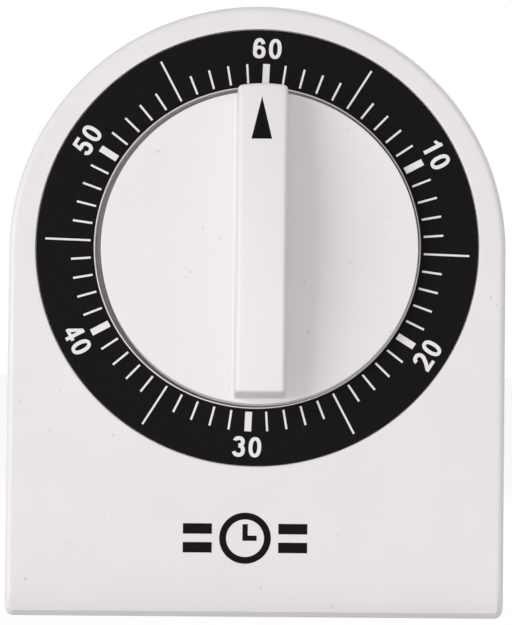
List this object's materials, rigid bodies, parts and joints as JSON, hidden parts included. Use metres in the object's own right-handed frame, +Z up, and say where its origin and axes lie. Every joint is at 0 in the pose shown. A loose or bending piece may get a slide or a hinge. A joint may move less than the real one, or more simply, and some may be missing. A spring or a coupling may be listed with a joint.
{
  "type": "lab timer",
  "caption": "Arched bench timer with a leaning front, a black ring dial and a large winding knob with a finger bar, driven by a spring movement that strikes a bell.",
  "frame": {"origin": "centre of the whole object's footprint box on the table, z = 0 under the base", "axes": "+X to the right as seen from the front, +Y to the back, +Z up; the dial and knob face -Y and lean back 9.5 degrees"},
  "size_m": [0.0944, 0.0461, 0.1161],
  "materials": {
    "white_plastic": "satin white moulded plastic",
    "dial_black": "semi-matt black printed plastic",
    "steel": "plated steel",
    "spring_steel": "blued spring steel",
    "bell_nickel": "nickel plated",
    "brass": "stamped brass"
  },
  "bodies": {
    "housing": {"bell": "bell_nickel", "bell_screw": "steel", "cover_screw_1": "steel", "cover_screw_2": "steel", "cover_screw_3": "steel", "cover_screw_4": "steel", "dial_ring": "dial_black", "front_housing": "white_plastic", "mainspring": "spring_steel", "movement_front_plate": "steel", "movement_pillar_1": "brass", "movement_pillar_2": "brass", "movement_pillar_3": "brass", "movement_pillar_4": "brass", "movement_rear_plate": "steel", "movement_screw_1": "steel", "movement_screw_2": "steel", "rear_cover": "white_plastic", "trip_lever_stud": "steel"},
    "knob_and_main_arbor": {"knob": "white_plastic", "knob_spring_clip": "spring_steel", "main_arbor": "steel", "ratchet_wheel": "steel", "click": "steel", "click_rivet": "brass", "main_wheel": "brass", "trip_cam": "brass"},
    "second_wheel_group": {"second_arbor": "steel", "second_wheel": "brass"},
    "third_wheel_group": {"third_arbor": "steel", "third_wheel": "brass"},
    "escape_wheel_group": {"escape_arbor": "steel", "escape_wheel": "brass"},
    "strike_wheel_group": {"strike_arbor": "steel", "strike_wheel": "brass"},
    "pallet_group": {"pallet_arbor": "steel", "pallet_lever": "steel", "pallet_pin_1": "brass", "pallet_pin_2": "brass"},
    "hammer_group": {"hammer_arbor": "steel", "hammer_arm": "steel", "hammer_head": "brass"},
    "trip_lever_group": {"trip_lever": "steel"}
  },
  "joints": [
    {"name": "knob_turn", "type": "hinge", "parent": "housing", "child": "knob_and_main_arbor", "pos_m": [0.0005, -0.00677, 0.06971], "axis": [0, 0.9863, -0.165], "range_deg": [0, 352]},
    {"name": "second_wheel_spin", "type": "hinge", "parent": "housing", "child": "second_wheel_group", "pos_m": [0.01391, -0.00491, 0.0808], "axis": [0, 0.9863, -0.165], "range_deg": [-2112, 0]},
    {"name": "third_wheel_spin", "type": "hinge", "parent": "housing", "child": "third_wheel_group", "pos_m": [0.00671, -0.0035, 0.08926], "axis": [0, 0.9863, -0.165], "range_deg": [0, 12672]},
    {"name": "escape_wheel_spin", "type": "hinge", "parent": "housing", "child": "escape_wheel_group", "pos_m": [-0.00309, -0.0035, 0.08926], "axis": [0, 0.9863, -0.165], "range_deg": [-76032, 0]},
    {"name": "strike_wheel_spin", "type": "hinge", "parent": "housing", "child": "strike_wheel_group", "pos_m": [-0.00954, -0.00914, 0.05557], "axis": [0, 0.9863, -0.165], "range_deg": [-2112, 0]},
    {"name": "pallet_rock", "type": "hinge", "parent": "housing", "child": "pallet_group", "pos_m": [-0.01117, -0.00373, 0.08786], "axis": [0, 0.9863, -0.165], "range_deg": [-5, 5]},
    {"name": "hammer_swing", "type": "hinge", "parent": "housing", "child": "hammer_group", "pos_m": [-0.0105, -0.01065, 0.04653], "axis": [0, 0.9863, -0.165], "range_deg": [-3.3, 3]},
    {"name": "trip_lever_drop", "type": "hinge", "parent": "housing", "child": "trip_lever_group", "pos_m": [-0.0117, -0.00826, 0.06083], "axis": [0, 0.9863, -0.165], "range_deg": [0, 8]}
  ],
  "couplings": [
    {"joint": "second_wheel_spin", "follows": "knob_turn", "ratio": -6},
    {"joint": "third_wheel_spin", "follows": "knob_turn", "ratio": 36},
    {"joint": "escape_wheel_spin", "follows": "knob_turn", "ratio": -216},
    {"joint": "strike_wheel_spin", "follows": "knob_turn", "ratio": -6}
  ]
}
